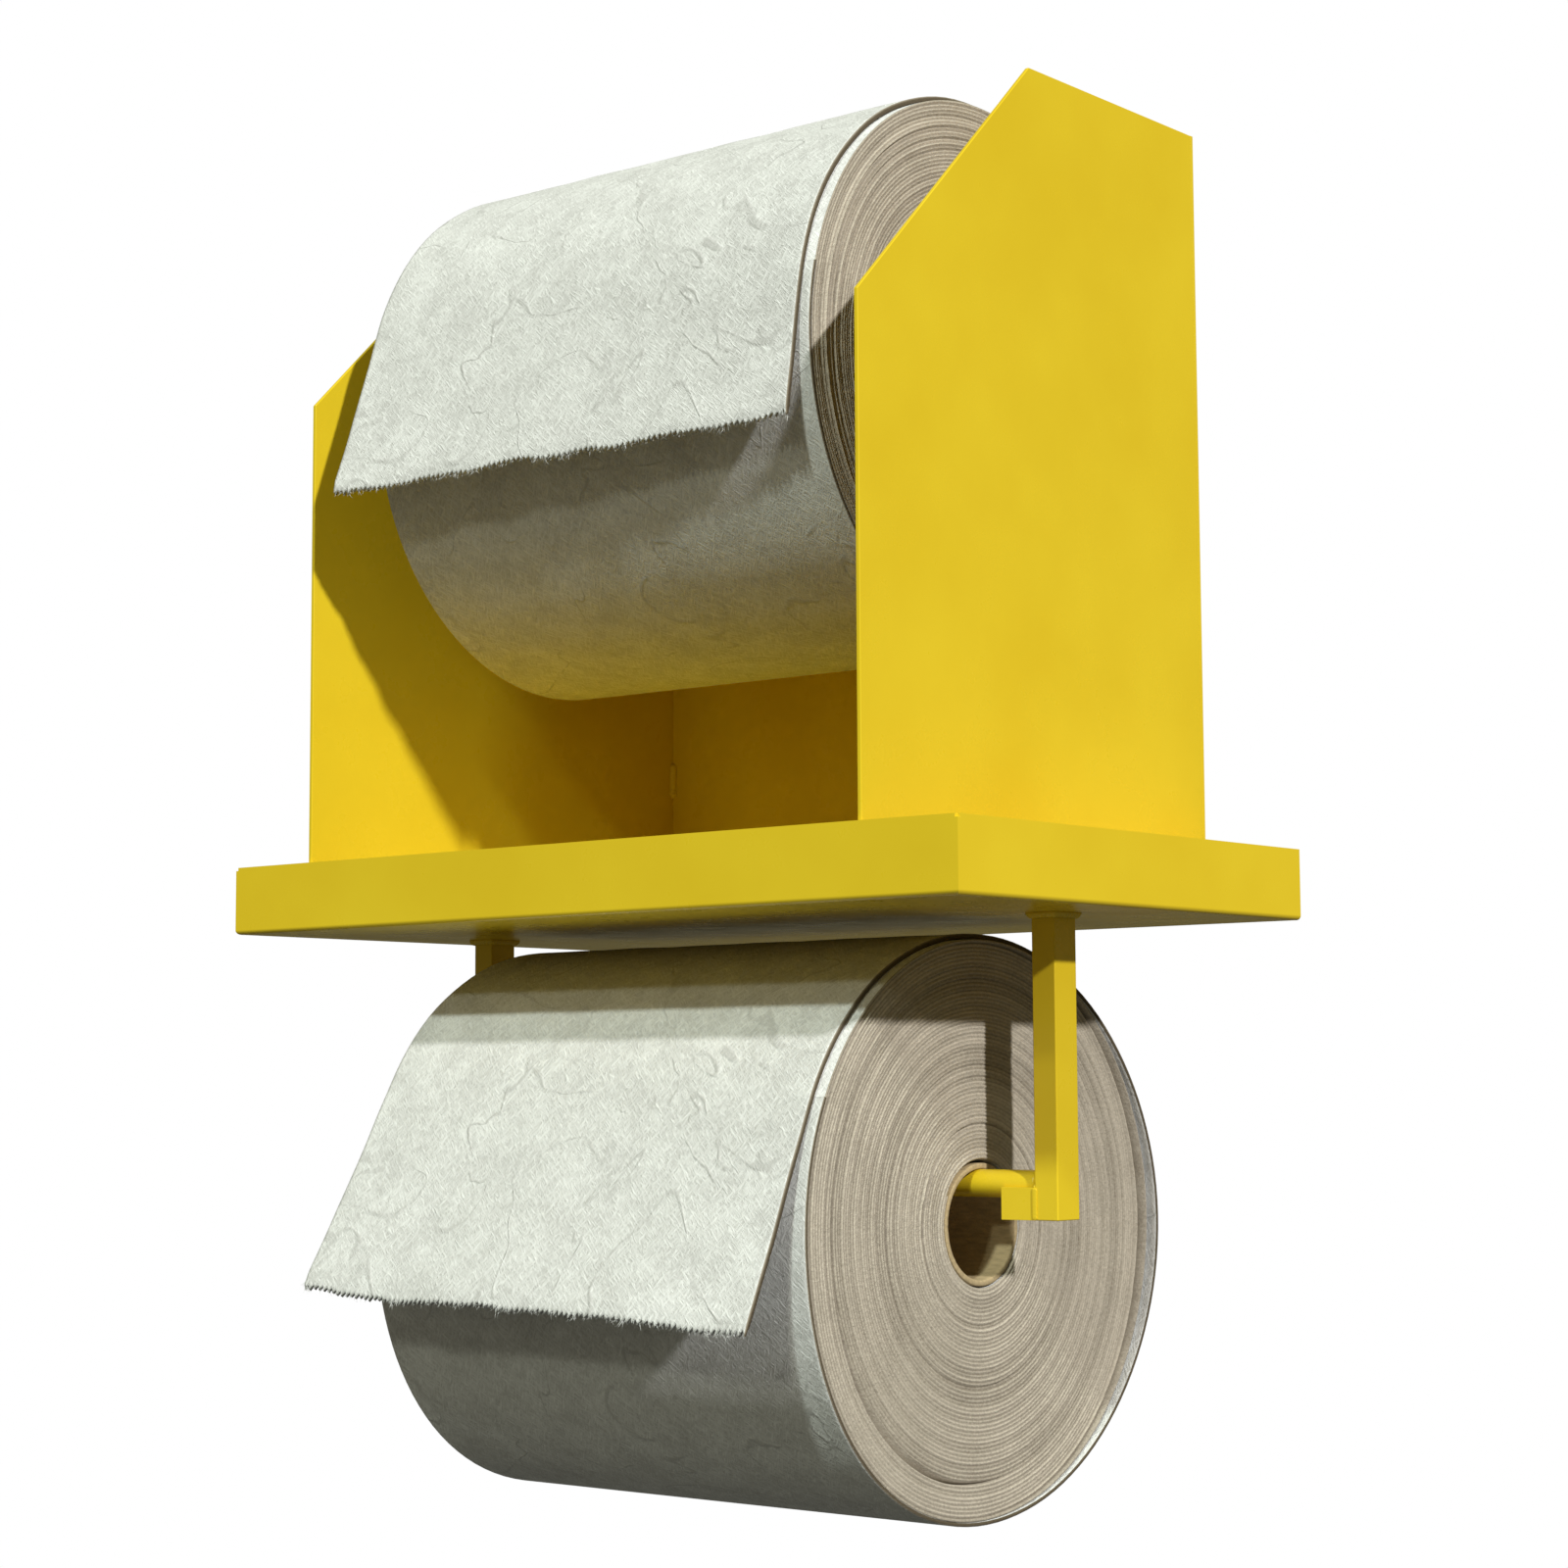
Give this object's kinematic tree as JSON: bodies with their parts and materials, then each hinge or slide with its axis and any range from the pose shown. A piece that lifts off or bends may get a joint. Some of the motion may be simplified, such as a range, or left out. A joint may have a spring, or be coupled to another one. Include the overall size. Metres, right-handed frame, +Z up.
{
  "type": "wall-mounted twin roll dispenser",
  "caption": "Yellow welded steel wall dispenser for absorbent mat: one roll in a cabinet on a pan-shaped tray, one hung under it, each on a lift-out bar.",
  "frame": {"origin": "centre of the four wall bolt holes, on the rear face that lies against the wall", "axes": "+Z up, +Y into the wall, so the front faces -Y, and +X to the right of a person facing the dispenser"},
  "size_m": [0.6858, 0.4571, 0.9977],
  "materials": {
    "yellow_enamel": "gloss enamel",
    "enamelled_weld": "gloss enamel over weld",
    "enamelled_bar": "gloss enamel, worn where the core hangs",
    "core_board": "spiral-wound board",
    "wound_felt": "melt-blown felt, wound",
    "loose_felt": "melt-blown felt"
  },
  "bodies": {
    "steel_frame": {"tray_pan": "yellow_enamel", "back_panel": "yellow_enamel", "side_panel_left": "yellow_enamel", "side_panel_right": "yellow_enamel", "upper_saddle_left": "yellow_enamel", "upper_saddle_right": "yellow_enamel", "hanger_left": "yellow_enamel", "hanger_right": "yellow_enamel", "lower_saddle_left": "yellow_enamel", "lower_saddle_right": "yellow_enamel", "tray_corner_welds": "enamelled_weld", "panel_foot_welds": "enamelled_weld", "back_seam_welds": "enamelled_weld", "hanger_welds": "enamelled_weld", "saddle_welds": "enamelled_weld"},
    "top_bar": {"upper_bar": "enamelled_bar"},
    "top_roll": {"upper_core": "core_board", "upper_roll": "wound_felt", "upper_loose_mat": "loose_felt"},
    "bottom_bar": {"lower_bar": "enamelled_bar"},
    "bottom_roll": {"lower_core": "core_board", "lower_roll": "wound_felt", "lower_loose_mat": "loose_felt"}
  },
  "joints": [
    {"name": "top_bar_lift", "type": "slide", "parent": "steel_frame", "child": "top_bar", "axis": [0, 0, 1], "range_m": [0, 0.2]},
    {"name": "top_roll_turn", "type": "hinge", "parent": "top_bar", "child": "top_roll", "pos_m": [0.004, -0.2032, 0.1023], "axis": [1, 0, 0], "range_deg": [-150, 120]},
    {"name": "bottom_bar_lift", "type": "slide", "parent": "steel_frame", "child": "bottom_bar", "axis": [0, 0, 1], "range_m": [0, 0.011]},
    {"name": "bottom_roll_turn", "type": "hinge", "parent": "bottom_bar", "child": "bottom_roll", "pos_m": [0.004, -0.2032, -0.4927], "axis": [1, 0, 0], "range_deg": [-55, 120]}
  ]
}
